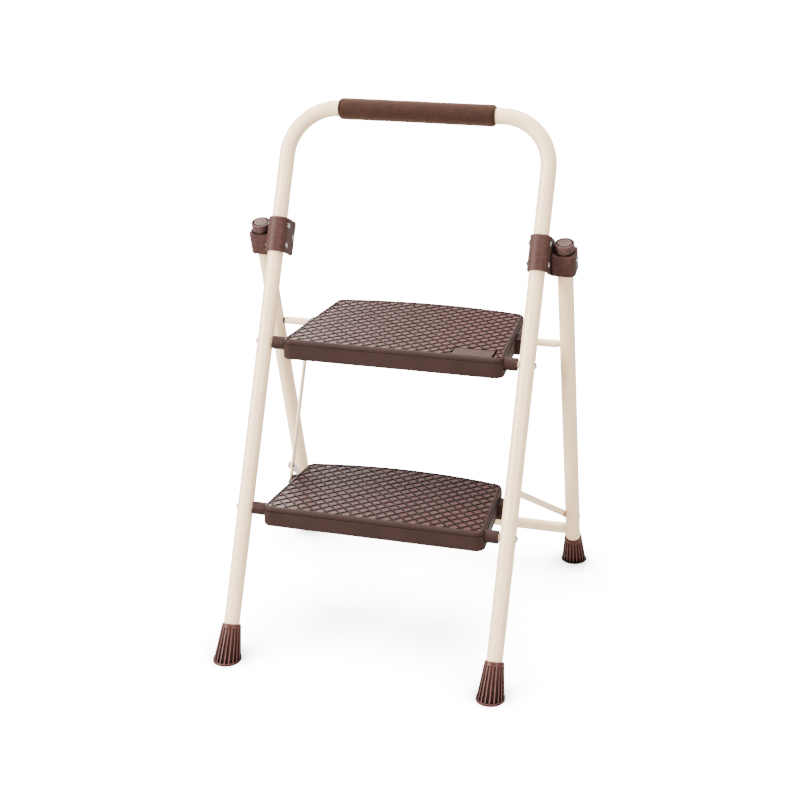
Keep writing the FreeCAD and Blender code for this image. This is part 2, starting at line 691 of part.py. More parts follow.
def brace():
    """The right brace: a strip with a flat tab at each end and a slanting middle."""
    length = brace_run()[0]
    half = STRIP_WIDTH / 2
    low = V(BRACE_AT_LEG, 0, BRACE_TAB)
    high = V(BRACE_INNER, 0, length - BRACE_TAB)
    thick = V(BRACE_THICKNESS, 0, 0)
    near = [V(BRACE_AT_LEG, 0, -half), low, high, V(BRACE_INNER, 0, length + half)]
    far = [point + thick for point in reversed(near)]
    side = Part.Face(Part.makePolygon(near + far + [near[0]]))
    strap = moved(side.extrude(V(0, STRIP_WIDTH, 0)), V(0, -half, 0))
    bends = []
    for edge in edges_along(strap, V(0, 1, 0)):
        height = edge.CenterOfMass.z
        if abs(height - low.z) < 0.1 or abs(height - high.z) < 0.1:
            bends.append(edge)
    strap = strap.makeFillet(BRACE_BEND, bends)
    strap = strap.common(strip_outline(BRACE_INNER - 1, REAR_X, length))
    for height in (0, length):
        strap = strap.cut(rod(RIVET_RADIUS + PIN_FIT, BRACE_INNER - 5, REAR_X, 0, height))
    return moved(turned(strap, brace_run()[1]), LEG_PIN)


def brace_pin():
    """The brace's half of the rivet that joins it to the link."""
    pin = half_rivet(BRACE_INNER, BRACE_INNER + BRACE_THICKNESS, RIVET_RADIUS, RIVET_HEAD, RIVET_DOME)
    return moved(pin, LINK_PIN)


# Every piece by name

def both_sides(nodes, name, right):
    nodes[name + "_right"] = right
    nodes[name + "_left"] = mirrored(right)


def build():
    nodes = {}
    nodes["front_frame_tube"] = front_frame_tube()
    nodes["handle_grip"] = handle_grip()
    both_sides(nodes, "front_foot", foot(FRONT_X, FRONT_GROUND, FRONT_ANGLE))
    both_sides(nodes, "front_clamp", on_front_frame(front_clamp()))
    both_sides(nodes, "clamp_rivets", on_front_frame(clamp_rivets()))
    both_sides(nodes, "pivot_rivet", on_front_frame(pivot_rivet()))
    nodes["upper_step_axle"] = step_axle(UPPER_AXLE)
    nodes["lower_step_axle"] = step_axle(LOWER_AXLE)
    nodes["upper_axle_sleeves"] = step_sleeves(UPPER_AXLE)
    nodes["lower_axle_sleeves"] = step_sleeves(LOWER_AXLE)
    both_sides(nodes, "rear_leg", on_rear_frame(rear_leg()))
    both_sides(nodes, "rear_foot", foot(REAR_X, REAR_GROUND, -REAR_ANGLE))
    both_sides(nodes, "rear_clamp", on_rear_frame(rear_clamp()))
    both_sides(nodes, "rear_cap", on_rear_frame(rear_cap()))
    both_sides(nodes, "brace_leg_rivet", brace_leg_rivet())
    nodes["upper_crossbar"] = on_rear_frame(upper_crossbar())
    nodes["lower_crossbar"] = on_rear_frame(lower_crossbar())
    nodes["upper_step"] = moved(step(UPPER_SIDE_DEPTH, UPPER_MIDDLE_DEPTH, True), UPPER_AXLE)
    nodes["lower_step"] = moved(step(LOWER_SIDE_DEPTH, LOWER_MIDDLE_DEPTH, False), LOWER_AXLE)
    nodes["upper_ear_rivets"] = ear_rivets(UPPER_EAR)
    nodes["lower_ear_rivets"] = ear_rivets(LOWER_EAR)
    both_sides(nodes, "step_link", step_link())
    both_sides(nodes, "link_pin", link_pin())
    both_sides(nodes, "brace", brace())
    both_sides(nodes, "brace_pin", brace_pin())
    return nodes


def main():
    os.makedirs("parts", exist_ok=True)
    for name, shape in build().items():
        shape.exportStep("parts/" + name + ".step")
        print(name, len(shape.Solids), round(shape.Volume), shape.isValid())


main()
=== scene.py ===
# %% [markdown]
# # Dressing a folding two-step stool
# The stool's construction is already packed: tubes, steps, clamps, links and rivets, each as a
# mesh in metres. This lesson loads it, gives every piece the finish of the real thing, and adds
# what solids say badly: a soft foam grip, the fine diamond lattice on both treads, and a small
# smooth plate in the upper one.

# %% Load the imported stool
import math

import bpy
import bmesh
from mathutils import Matrix, Vector


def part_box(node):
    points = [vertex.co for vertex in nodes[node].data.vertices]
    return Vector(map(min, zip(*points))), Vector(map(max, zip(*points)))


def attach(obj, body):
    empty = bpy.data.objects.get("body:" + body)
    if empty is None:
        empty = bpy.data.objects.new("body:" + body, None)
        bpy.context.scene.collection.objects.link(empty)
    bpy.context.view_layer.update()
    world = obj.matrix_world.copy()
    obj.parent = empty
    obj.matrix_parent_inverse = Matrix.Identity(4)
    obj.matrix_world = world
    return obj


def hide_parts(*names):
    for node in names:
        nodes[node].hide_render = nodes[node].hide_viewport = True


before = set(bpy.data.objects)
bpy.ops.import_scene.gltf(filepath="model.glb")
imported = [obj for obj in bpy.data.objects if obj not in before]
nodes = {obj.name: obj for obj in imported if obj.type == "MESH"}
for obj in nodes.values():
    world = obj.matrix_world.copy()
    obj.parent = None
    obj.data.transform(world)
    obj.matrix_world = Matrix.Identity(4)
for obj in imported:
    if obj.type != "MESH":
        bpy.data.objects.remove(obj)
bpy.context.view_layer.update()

# %% [markdown]
# ## The camera
# The stool is seen from its right front corner, a little from above, through a long lens, as for
# a catalogue. A long lens keeps the legs nearly parallel. The camera could be made to track a
# target, but then it couldn't roll. So it has a place and three angles: how far it is turned,
# how far it looks down, and how far it rolls. Each can be changed alone.

# %% Place the camera
CAMERA_TURN = math.radians(16.39)
CAMERA_DOWN = math.radians(20.46)
CAMERA_ROLL = math.radians(-0.16)
CAMERA_PLACE = Vector((0.6545, -2.2302, 1.2346))
SENSOR_MM = 36.0
LENS_MM = 69.66

camera_data = bpy.data.cameras.new("catalogue_camera")
camera_data.sensor_width = SENSOR_MM
camera_data.lens = LENS_MM
camera = bpy.data.objects.new("catalogue_camera", camera_data)
bpy.context.scene.collection.objects.link(camera)
bpy.context.scene.camera = camera
turn = Matrix.Rotation(CAMERA_TURN, 4, "Z")
tip = Matrix.Rotation(math.radians(90) - CAMERA_DOWN, 4, "X")
roll = Matrix.Rotation(CAMERA_ROLL, 4, "Z")
camera.matrix_world = Matrix.Translation(CAMERA_PLACE) @ turn @ tip @ roll
print("camera stands", round(CAMERA_PLACE.length, 2), "m from the frame's origin")

# %% [markdown]
# ## Small tools for making pieces
# A new piece starts as a primitive at its real size and place and is worked in edit mode. Faces
# are picked by the way they look or by where they lie, so that a changed size still finds them.

# %% Tools for making and picking
# A face looks along an axis when its normal has more than this share on it.
FACING = 0.9


def settle(name):
    """Name the primitive that was just added, and apply its place, turn and size."""
    piece = bpy.context.object
    piece.name = name
    bpy.ops.object.transform_apply(location=True, rotation=True, scale=True)
    return piece


def only(piece):
    """Select one object and make it the one worked on."""
    bpy.ops.object.select_all(action="DESELECT")
    piece.select_set(True)
    bpy.context.view_layer.objects.active = piece


def pick(piece, kind, wanted):
    """Enter edit mode with just those faces or edges selected that the test accepts."""
    only(piece)
    bpy.ops.object.mode_set(mode="EDIT")
    bpy.ops.mesh.select_mode(type=kind)
    mesh = bmesh.from_edit_mesh(piece.data)
    members = mesh.faces if kind == "FACE" else mesh.edges
    count = 0
    for member in members:
        chosen = bool(wanted(member))
        member.select_set(chosen)
        count += chosen
    bmesh.update_edit_mesh(piece.data)
    return count


# %% Tools for changing and finishing
def use_modifier(piece, name, kind, **values):
    """Add a modifier with its values and apply it at once."""
    only(piece)
    modifier = piece.modifiers.new(name, kind)
    for key, value in values.items():
        setattr(modifier, key, value)
    bpy.ops.object.modifier_apply(modifier=modifier.name)


def finish_piece(piece, body):
    """Close the work on a piece: normals outwards, at the origin, riding on its body."""
    only(piece)
    bpy.ops.object.mode_set(mode="EDIT")
    bpy.ops.mesh.select_all(action="SELECT")
    bpy.ops.mesh.normals_make_consistent(inside=False)
    bpy.ops.object.mode_set(mode="OBJECT")
    bpy.ops.object.transform_apply(location=True, rotation=True, scale=True)
    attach(piece, body)


# %% [markdown]
# ## The foam grip
# The real grip is a sleeve of closed-cell foam, pushed onto the handle before the tube is bent.
# It is a thick-walled tube with rounded lips, and it never lies quite even, because foam gives
# and stretches. It could be a curve with a thickness, but a curve has no wall. Here a cylinder
# gets a bore, which is inset into its ends, then soft lips and a very slight waviness.

# %% Start from a cylinder
GRIP_SIDES = 72

grip_low, grip_high = [Vector(corner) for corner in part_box("handle_grip")]
grip_centre = (grip_low + grip_high) / 2
grip_length = grip_high.x - grip_low.x
grip_radius = (grip_high.z - grip_low.z) / 2
bpy.ops.mesh.primitive_cylinder_add(
    vertices=GRIP_SIDES, radius=grip_radius, depth=grip_length,
    location=grip_centre, rotation=(0, math.radians(90), 0))
grip = settle("foam_grip")
print("grip is", round(grip_length * 1000), "mm long and", round(grip_radius * 2000), "mm across")

# %% Open the bore
BORE_RADIUS = 0.0128

pick(grip, "FACE", lambda face: abs(face.normal.x) > FACING)
bpy.ops.mesh.inset(thickness=grip_radius - BORE_RADIUS, depth=0.0)
bpy.ops.mesh.bridge_edge_loops()
bpy.ops.object.mode_set(mode="OBJECT")
print("grip wall:", round((grip_radius - BORE_RADIUS) * 1000, 1), "mm")

# %% Round the lips and divide the sleeve
LIP_ROUND = 0.0055
LIP_SEGMENTS = 6
GRIP_CUTS = 48
RIM_SLACK = 0.0005
SAME_PLACE = 1e-6


def length_along(edge):
    """How far an edge reaches along the grip."""
    return abs(edge.verts[0].co.x - edge.verts[1].co.x)


def on_outer_rim(edge):
    """Whether an edge goes round an end of the sleeve, on its outside."""
    from_axis = (edge.verts[0].co.yz - grip_centre.yz).length
    return length_along(edge) < SAME_PLACE and from_axis > grip_radius - RIM_SLACK


rim_edges = pick(grip, "EDGE", on_outer_rim)
bpy.ops.mesh.bevel(offset=LIP_ROUND, segments=LIP_SEGMENTS, profile=0.5)
bpy.ops.object.mode_set(mode="OBJECT")
pick(grip, "EDGE", lambda edge: length_along(edge) > grip_length / 2)
bpy.ops.mesh.subdivide(number_cuts=GRIP_CUTS)
bpy.ops.object.mode_set(mode="OBJECT")
print("edges rounded at the lips:", rim_edges)

# %% Let the foam wander a little
WAVE_LENGTH = 0.035
WAVE_HEIGHT = 0.0007
WAVE_LEVEL = 0.62
SMOOTH_BELOW = math.radians(50)

foam_waves = bpy.data.textures.new("foam_waves", "CLOUDS")
foam_waves.noise_scale = WAVE_LENGTH
use_modifier(
    grip, "waves", "DISPLACE", texture=foam_waves, texture_coords="LOCAL",
    strength=WAVE_HEIGHT, mid_level=WAVE_LEVEL)
bpy.ops.object.shade_smooth_by_angle(angle=SMOOTH_BELOW)
finish_piece(grip, "front_frame")
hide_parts("handle_grip")
print("grip faces:", len(grip.data.polygons))

# %% [markdown]
# ## The lattice on the treads
# Each tread has a shallow field full of thin raised ribs that cross at a right angle and stand
# like diamonds to the feet. On the real step they come out of the mould with it. A bump in the
# material could draw them, but it would look painted on from a low camera. Here a plate is
# divided into squares and turned by half a right angle, and each square is sunk between its
# ribs. The plate is then trimmed to the field: straight at the front and sides, round behind.

# %% Sizes of the lattice
# The pitch is measured from one diamond's corner to the next, across the step.
PITCH = 0.0215
RIB_WIDTH = 0.0018
POCKET_DEPTH = 0.0013
POCKET_DRAFT = 0.0002
UNDER_POCKET = 0.0007
SQUARES = 31
LEVEL_SLACK = 0.0001
print("a rib every", round(PITCH / math.sqrt(2) * 1000, 1), "mm")


# %% Press the pockets into a plate
def lattice_plate(name, middle_y, top):
    """A square plate of ribs and pockets, a corner towards the front."""
    bpy.ops.mesh.primitive_grid_add(
        x_subdivisions=SQUARES, y_subdivisions=SQUARES, size=SQUARES * PITCH / math.sqrt(2),
        location=(0, middle_y, top), rotation=(0, 0, math.radians(45)))
    plate = settle(name)
    thickness = POCKET_DEPTH + UNDER_POCKET
    use_modifier(plate, "thickness", "SOLIDIFY", thickness=thickness, offset=-1)
    squares = pick(plate, "FACE", lambda face: (
        face.normal.z > FACING and face.calc_center_median().z > top - LEVEL_SLACK))
    bpy.ops.mesh.inset(thickness=RIB_WIDTH / 2, depth=0.0, use_individual=True)
    bpy.ops.mesh.inset(thickness=POCKET_DRAFT, depth=-POCKET_DEPTH, use_individual=True)
    bpy.ops.object.mode_set(mode="OBJECT")
    print(name, "has", squares, "squares before it is trimmed")
    return plate


# %% Two ways to cut a plate
def cut_straight(plate, point, outwards):
    """Cut the plate by an upright plane and close the cut."""
    only(plate)
    bpy.ops.object.mode_set(mode="EDIT")
    bpy.ops.mesh.select_all(action="SELECT")
    bpy.ops.mesh.bisect(plane_co=point, plane_no=outwards, use_fill=True, clear_outer=True)
    bpy.ops.object.mode_set(mode="OBJECT")


def cut_with(plate, tool, operation):
    """Cut the plate with another solid, which is used up."""
    use_modifier(plate, "cut", "BOOLEAN", object=tool, operation=operation, solver="EXACT")
    bpy.data.objects.remove(tool, do_unlink=True)


# %% Trim a plate to the tread's field
# The nose is the distance from the step's front to its axle. The half width and the taper of
# the step's sides are taken at its front.
FIELD_BORDER = 0.0063
STEP_NOSE = 0.019
STEP_HALF = 0.17925
STEP_TAPER = math.radians(4.1)
CUTTER_HEIGHT = 0.05
CUTTER_SIDES = 360


def trim_to_field(plate, front, side_depth, middle_depth, top):
    """Front line, two slanting sides, and the round rear edge."""
    cut_straight(plate, (0, front + FIELD_BORDER, top), (0, -1, 0))
    inset = FIELD_BORDER / math.cos(STEP_TAPER)
    for side in (-1, 1):
        edge = (side * (STEP_HALF - inset), front, top)
        cut_straight(plate, edge, (side * math.cos(STEP_TAPER), math.sin(STEP_TAPER), 0))
    rear_half = STEP_HALF - (STEP_NOSE + side_depth) * math.tan(STEP_TAPER)
    bulge = middle_depth - side_depth
    radius = (rear_half ** 2 + bulge ** 2) / (2 * bulge)
    rear = front + STEP_NOSE + middle_depth
    bpy.ops.mesh.primitive_cylinder_add(
        vertices=CUTTER_SIDES, radius=radius - FIELD_BORDER, depth=CUTTER_HEIGHT,
        location=(0, rear - radius, top))
    cut_with(plate, bpy.context.object, "INTERSECT")


# %% [markdown]
# Near the right front corner the upper field leaves room for a small smooth plate. The room is
# cut out of the lattice, from the front to the plate's back. What is left of the lattice then
# has its faces told apart, because pocket floors, flanks and rib tops get finishes of their own,
# with painted light on the floors and painted shade on the flanks and rib tops.

# %% Leave room for the bare plate
# The plate's left and right are measured from the step's middle, its back from the axle.
PLATE_LEFT = 0.0941
PLATE_RIGHT = 0.1614
PLATE_BACK = 0.0200
ROOM_DEPTH = 0.06
ROOM_HEIGHT = 0.02


def cut_room(plate, axle, top):
    """Cut the bare plate's room out of the lattice."""
    middle = (PLATE_LEFT + PLATE_RIGHT) / 2
    bpy.ops.mesh.primitive_cube_add(
        size=1, location=(middle, axle + PLATE_BACK - ROOM_DEPTH / 2, top),
        scale=(PLATE_RIGHT - PLATE_LEFT, ROOM_DEPTH, ROOM_HEIGHT))
    cut_with(plate, bpy.context.object, "DIFFERENCE")


# %% Lay a lattice on a tread
BELOW_RIM = 0.0001
FACE_KINDS = ("floor", "flank", "rib")


def sort_faces(plate, top):
    """Tell each face's kind by its material's number, and count the kinds."""
    counts = dict.fromkeys(FACE_KINDS, 0)
    for face in plate.data.polygons:
        level = "floor" if face.center.z < top - POCKET_DEPTH / 2 else "rib"
        kind = level if face.normal.z > FACING else "flank"
        face.material_index = FACE_KINDS.index(kind)
        counts[kind] += 1
    return counts


def tread_lattice(name, node, body, side_depth, middle_depth, first_pocket, with_room):
    """The lattice of one tread, with a pocket's middle at first_pocket behind the axle."""
    low, high = [Vector(corner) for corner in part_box(node)]
    top = high.z - BELOW_RIM
    axle = low.y + STEP_NOSE
    plate = lattice_plate(name, axle + first_pocket, top)
    trim_to_field(plate, low.y, side_depth, middle_depth, top)
    if with_room:
        cut_room(plate, axle, top)
    finish_piece(plate, body)
    print(name, "faces:", sort_faces(plate, top))
    return plate


# %% [markdown]
# The smooth plate itself has a fine groove round it on three sides, dark with shade. A dark line
# on a flat face would do from afar, but only a real groove has a shaded wall. So the plate is a
# tile: a cube is flattened to size, its top is inset, and what the inset leaves at the left, the
# right and the back is pressed down. The groove's faces are also painted near black, as painted
# shade.

# %% Size and make the smooth plate
# The near edge is measured from the step's front.
TILE_NEAR = 0.0052
TILE_THICKNESS = 0.0018
TILE_PROUD = 0.00025
TILE_BORDER = 0.0023
GROOVE_DEPTH = 0.0010
GROOVE_DRAFT = 0.0001


def smooth_tile(name, node, body):
    """The bare plate as a tile that stands a hair above the step."""
    low, high = [Vector(corner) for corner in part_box(node)]
    near = low.y + TILE_NEAR
    far = low.y + STEP_NOSE + PLATE_BACK
    top = high.z + TILE_PROUD
    bpy.ops.mesh.primitive_cube_add(
        size=1, scale=(PLATE_RIGHT - PLATE_LEFT, far - near, TILE_THICKNESS),
        location=((PLATE_LEFT + PLATE_RIGHT) / 2, (near + far) / 2, top - TILE_THICKNESS / 2))
    tile = settle(name)
    pick(tile, "FACE", lambda face: face.normal.z > FACING)
    bpy.ops.mesh.inset(thickness=TILE_BORDER, depth=0.0)
    bpy.ops.object.mode_set(mode="OBJECT")

    def in_groove(face):
        x, y, _ = face.calc_center_median()
        outside = min(x - PLATE_LEFT, PLATE_RIGHT - x, far - y) < TILE_BORDER
        return face.normal.z > FACING and outside and y > near + TILE_BORDER

    pick(tile, "FACE", in_groove)
    bpy.ops.mesh.inset(thickness=GROOVE_DRAFT, depth=-GROOVE_DEPTH)
    bpy.ops.object.mode_set(mode="OBJECT")
    finish_piece(tile, body)
    # The groove's faces take the second finish, painted near black as painted shade.
    for face in tile.data.polygons:
        sunk = face.center.z < top - GROOVE_DEPTH / 4
        face.material_index = int(sunk and face.center.y > near + TILE_BORDER)
    print(name, "is", round((PLATE_RIGHT - PLATE_LEFT) * 1000), "mm wide")
    return tile


upper_tile = smooth_tile("upper_tile", "upper_step", "upper_step_body")

# %% Both lattices
# The depths run from the axle to the step's rear edge, at its sides and at its middle.
upper_lattice = tread_lattice(
    "upper_lattice", "upper_step", "upper_step_body",
    side_depth=0.220, middle_depth=0.2385, first_pocket=0.114, with_room=True)
lower_lattice = tread_lattice(
    "lower_lattice", "lower_step", "lower_step_body",
    side_depth=0.172, middle_depth=0.191, first_pocket=0.0805, with_room=False)

# %% [markdown]
# ## What the finishes share
# A few small recipes serve several finishes. One mottles a colour, one gives a fine grain to the
# surface, one finds the edges, which most finishes paint lighter as a painted highlight, and one
# finds the crevices, which get painted shade. Each could be built again in every material. As a
# node group it is built once, and a finish only has to name its numbers.

# %% Tools for joining nodes
def plug(tree, value, socket):
    """Feed a socket from another one, or set it to a plain value."""
    if isinstance(value, bpy.types.NodeSocket):
        tree.links.new(value, socket)
    else:
        socket.default_value = value


def math_of(tree, operation, first, second):
    """The result of one operation on two values."""
    node = tree.nodes.new("ShaderNodeMath")
    node.operation = operation
    plug(tree, first, node.inputs[0])
    plug(tree, second, node.inputs[1])
    return node.outputs[0]


def mix_of(tree, kind, factor, first, second):
    """Two numbers or two colours, mixed."""
    node = tree.nodes.new("ShaderNodeMix")
    node.data_type = kind
    plug(tree, factor, node.inputs["Factor"])
    plug(tree, first, node.inputs["A"])
    plug(tree, second, node.inputs["B"])
    return node.outputs["Result"]


def mapped(tree, value, start=0.0, end=1.0, low=0.0, high=1.0):
    """A value that goes from low to high while the given one goes from start to end."""
    node = tree.nodes.new("ShaderNodeMapRange")
    node.inputs["From Min"].default_value = start
    node.inputs["From Max"].default_value = end
    node.inputs["To Min"].default_value = low
    node.inputs["To Max"].default_value = high
    tree.links.new(value, node.inputs["Value"])
    return node.outputs["Result"]


# %% Tools for a recipe
def new_recipe(name, inputs, outputs):
    """An empty node group with named inputs and outputs."""
    group = bpy.data.node_groups.new(name, "ShaderNodeTree")
    for label, kind in inputs:
        group.interface.new_socket(name=label, in_out="INPUT", socket_type=kind)
    for label, kind in outputs:
        group.interface.new_socket(name=label, in_out="OUTPUT", socket_type=kind)
    start = group.nodes.new("NodeGroupInput")
    end = group.nodes.new("NodeGroupOutput")
    return group, start, end


def noise_of(tree, scale, detail, roughness):
    """A noise on the object's own coordinates."""
    place = tree.nodes.new("ShaderNodeTexCoord")
    noise = tree.nodes.new("ShaderNodeTexNoise")
    noise.inputs["Detail"].default_value = detail
    noise.inputs["Roughness"].default_value = roughness
    tree.links.new(place.outputs["Object"], noise.inputs["Vector"])
    tree.links.new(scale, noise.inputs["Scale"])
    return noise.outputs["Fac"]


# %% Mottled colour
PATCH_START = 0.38
PATCH_FULL = 0.66


def make_mottle():
    """Mix a colour with a second one in soft patches."""
    group, start, end = new_recipe(
        "mottle",
        [("Colour", "NodeSocketColor"), ("Patch Colour", "NodeSocketColor"),
         ("Scale", "NodeSocketFloat"), ("Amount", "NodeSocketFloat")],
        [("Colour", "NodeSocketColor"), ("Patch", "NodeSocketFloat")])
    noise = noise_of(group, start.outputs["Scale"], detail=4.0, roughness=0.6)
    patch = mapped(group, noise, start=PATCH_START, end=PATCH_FULL)
    amount = math_of(group, "MULTIPLY", patch, start.outputs["Amount"])
    colour = mix_of(
        group, "RGBA", amount, start.outputs["Colour"], start.outputs["Patch Colour"])
    group.links.new(colour, end.inputs["Colour"])
    group.links.new(patch, end.inputs["Patch"])
    return group


mottle = make_mottle()
print("recipe", mottle.name, "has", len(mottle.nodes), "nodes")


# %% Fine grain
def make_grain():
    """A height for a bump: fine noise over a slower one."""
    group, start, end = new_recipe(
        "surface_grain",
        [("Scale", "NodeSocketFloat"), ("Slow Scale", "NodeSocketFloat"),
         ("Slow Share", "NodeSocketFloat")],
        [("Height", "NodeSocketFloat")])
    fine = noise_of(group, start.outputs["Scale"], detail=3.0, roughness=0.6)
    slow = noise_of(group, start.outputs["Slow Scale"], detail=2.0, roughness=0.5)
    height = mix_of(group, "FLOAT", start.outputs["Slow Share"], fine, slow)
    group.links.new(height, end.inputs["Height"])
    return group


grain = make_grain()
print("recipe", grain.name, "has", len(grain.nodes), "nodes")

# %% Edges found by their shading
# Where the softened normal leaves the true one, an edge is near. The two agree to 1 on flat
# ground, and to less the nearer the edge is.
EDGE_START = 0.99
EDGE_FULL = 0.80
BEVEL_SAMPLES = 6


def make_edges():
    """One where an edge is near, nought on flat ground."""
    group, start, end = new_recipe(
        "edge_finder", [("Reach", "NodeSocketFloat")], [("Edge", "NodeSocketFloat")])
    soft = group.nodes.new("ShaderNodeBevel")
    soft.samples = BEVEL_SAMPLES
    group.links.new(start.outputs["Reach"], soft.inputs["Radius"])
    plain = group.nodes.new("ShaderNodeNewGeometry")
    agree = group.nodes.new("ShaderNodeVectorMath")
    agree.operation = "DOT_PRODUCT"
    group.links.new(soft.outputs["Normal"], agree.inputs[0])
    group.links.new(plain.outputs["Normal"], agree.inputs[1])
    edge = mapped(group, agree.outputs["Value"], start=EDGE_START, end=EDGE_FULL)
    group.links.new(edge, end.inputs["Edge"])
    return group


edge_finder = make_edges()
print("recipe", edge_finder.name, "has", len(edge_finder.nodes), "nodes")

# %% Crevices found by how little sky they see
# The crevice value drives the painted shade in every finish.
CREVICE_START = 0.97
CREVICE_FULL = 0.62
SKY_SAMPLES = 8


def make_crevices():
    """One deep in a corner, nought in the open."""
    group, start, end = new_recipe(
        "crevice_shade_finder", [("Reach", "NodeSocketFloat")], [("Crevice", "NodeSocketFloat")])
    sky = group.nodes.new("ShaderNodeAmbientOcclusion")
    sky.samples = SKY_SAMPLES
    group.links.new(start.outputs["Reach"], sky.inputs["Distance"])
    crevice = mapped(group, sky.outputs["AO"], start=CREVICE_START, end=CREVICE_FULL)
    group.links.new(crevice, end.inputs["Crevice"])
    return group


crevice_shade_finder = make_crevices()
print("recipe", crevice_shade_finder.name, "has", len(crevice_shade_finder.nodes), "nodes")

# %% [markdown]
# ## Finishes
# Every finish is one recipe with its own numbers: a mottled base colour, a grain in the bump, a
# roughness that wanders with the patches, a tone along the edges that is a painted highlight
# (on the steel and the pocket floors it is painted shade), and painted shade in the crevices,
# which are also dull. Its three colours are the base, the patches and the edges' painted light.

# %% Tools for a finish
def set_sockets(node, values):
    """Set a node's inputs by name, with an underscore for each space."""
    for label, value in values.items():
        node.inputs[label.replace("_", " ")].default_value = value


def add_group(tree, group, **values):
    """A node group in a tree, with its values."""
    node = tree.nodes.new("ShaderNodeGroup")
    node.node_tree = group
    set_sockets(node, values)
    return node


def grained_normal(tree, look):
    """Softened edges with the grain in relief."""
    skin = add_group(
        tree, grain, Scale=look["grain_scale"],
        Slow_Scale=look["slow_scale"], Slow_Share=look["slow_share"])
    soft = tree.nodes.new("ShaderNodeBevel")
    soft.samples = BEVEL_SAMPLES
    soft.inputs["Radius"].default_value = look["edge_soft"]
    bump = tree.nodes.new("ShaderNodeBump")
    bump.inputs["Strength"].default_value = look["bump"]
    bump.inputs["Distance"].default_value = look["bump_depth"]
    tree.links.new(skin.outputs["Height"], bump.inputs["Height"])
    tree.links.new(soft.outputs["Normal"], bump.inputs["Normal"])
    return bump.outputs["Normal"]


# %% One maker for all painted and moulded finishes
# How dark the painted shade in the crevices gets, as a share of the base colour.
CREVICE_SHADE_TONE = 0.05
CREVICE_ROUGHNESS = 1.0


def finish(name, colours, look, **constants):
    """A finish from three colours, a dictionary of its numbers, and the shader's constants."""
    material = bpy.data.materials.new(name)
    material.use_nodes = True
    tree = material.node_tree
    shader = tree.nodes["Principled BSDF"]
    base, patch, edge = [(*colour, 1) for colour in colours]
    tones = add_group(
        tree, mottle, Colour=base, Patch_Colour=patch,
        Scale=look["patch_scale"], Amount=look["patch_amount"])
    # The edge colour is mixed in along edges: a painted highlight on most finishes, painted shade
    # on the steel and the pocket floors.
    edges = add_group(tree, edge_finder, Reach=look["edge_reach"])
    edge_light_share = math_of(tree, "MULTIPLY", edges.outputs["Edge"], look["edge_amount"])
    edge_lit = mix_of(tree, "RGBA", edge_light_share, tones.outputs["Colour"], edge)
    # Crevices are darkened towards a twentieth of the base colour, as painted shade, and made
    # dull.
    shade_in_crevices = add_group(tree, crevice_shade_finder, Reach=look["crevice_reach"])
    depth = math_of(tree, "MULTIPLY", shade_in_crevices.outputs["Crevice"], look["crevice_amount"])
    shadow = (*[part * CREVICE_SHADE_TONE for part in base[:3]], 1)
    shaded = mix_of(tree, "RGBA", depth, edge_lit, shadow)
    smooth, rough = look["roughness"]
    shine = mapped(tree, tones.outputs["Patch"], low=smooth, high=rough)
    dulled = mix_of(tree, "FLOAT", depth, shine, CREVICE_ROUGHNESS)
    tree.links.new(shaded, shader.inputs["Base Color"])
    tree.links.new(dulled, shader.inputs["Roughness"])
    tree.links.new(grained_normal(tree, look), shader.inputs["Normal"])
    set_sockets(shader, constants)
    return material


# %% [markdown]
# The tubes wear a warm ivory powder coat. It is satin rather than glossy, and up close it has a
# faint orange peel, which is a slow, shallow unevenness. One smooth layer would look like
# glass. A thin coat over a rougher base gives the soft highlight of powder paint.

# %% Ivory enamel
ENAMEL_COLOURS = ((0.90, 0.67, 0.415), (0.88, 0.64, 0.385), (0.92, 0.71, 0.475))
ENAMEL_COAT = dict(Coat_Weight=0.15, Coat_Roughness=0.2)
ENAMEL_LOOK = dict(
    patch_scale=9.0, patch_amount=0.5, edge_reach=0.0008, edge_amount=0.4,
    crevice_reach=0.003, crevice_amount=0.25, roughness=(0.30, 0.38),
    grain_scale=420.0, slow_scale=110.0, slow_share=0.6,
    edge_soft=0.0005, bump=0.10, bump_depth=0.0004)

ivory_enamel = finish("ivory_enamel", ENAMEL_COLOURS, ENAMEL_LOOK, **ENAMEL_COAT)
print("finish:", ivory_enamel.name)

# %% [markdown]
# The upper crossbar is thinner where its ends enter the legs. At the left end the neck in that
# narrow gap is painted near black, as painted shade. The neck could be a piece of its own, but
# the real bar is in one piece. So the bar gets an enamel of its own, in which a mask on the
# piece's left-right coordinate finds the neck.

# %% Crossbar enamel with painted shade at its left neck
NECK_LENGTH = 0.0040
NECK_SHADE = (0.012, 0.011, 0.010, 1)

neck_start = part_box("rear_leg_right")[0][0] - NECK_LENGTH


def paint_neck_shade(material, start):
    """Mix a near black in beyond a distance to the left of the middle, as painted shade."""
    tree = material.node_tree
    paint = tree.nodes["Principled BSDF"].inputs["Base Color"]
    enamel = paint.links[0].from_socket
    place = tree.nodes.new("ShaderNodeTexCoord")
    split = tree.nodes.new("ShaderNodeSeparateXYZ")
    tree.links.new(place.outputs["Object"], split.inputs["Vector"])
    beyond = math_of(tree, "LESS_THAN", split.outputs["X"], -start)
    tree.links.new(mix_of(tree, "RGBA", beyond, enamel, NECK_SHADE), paint)


bar_enamel = finish("bar_enamel", ENAMEL_COLOURS, ENAMEL_LOOK, **ENAMEL_COAT)
paint_neck_shade(bar_enamel, neck_start)
print("the black neck starts", round(neck_start * 1000, 1), "mm left of the middle")

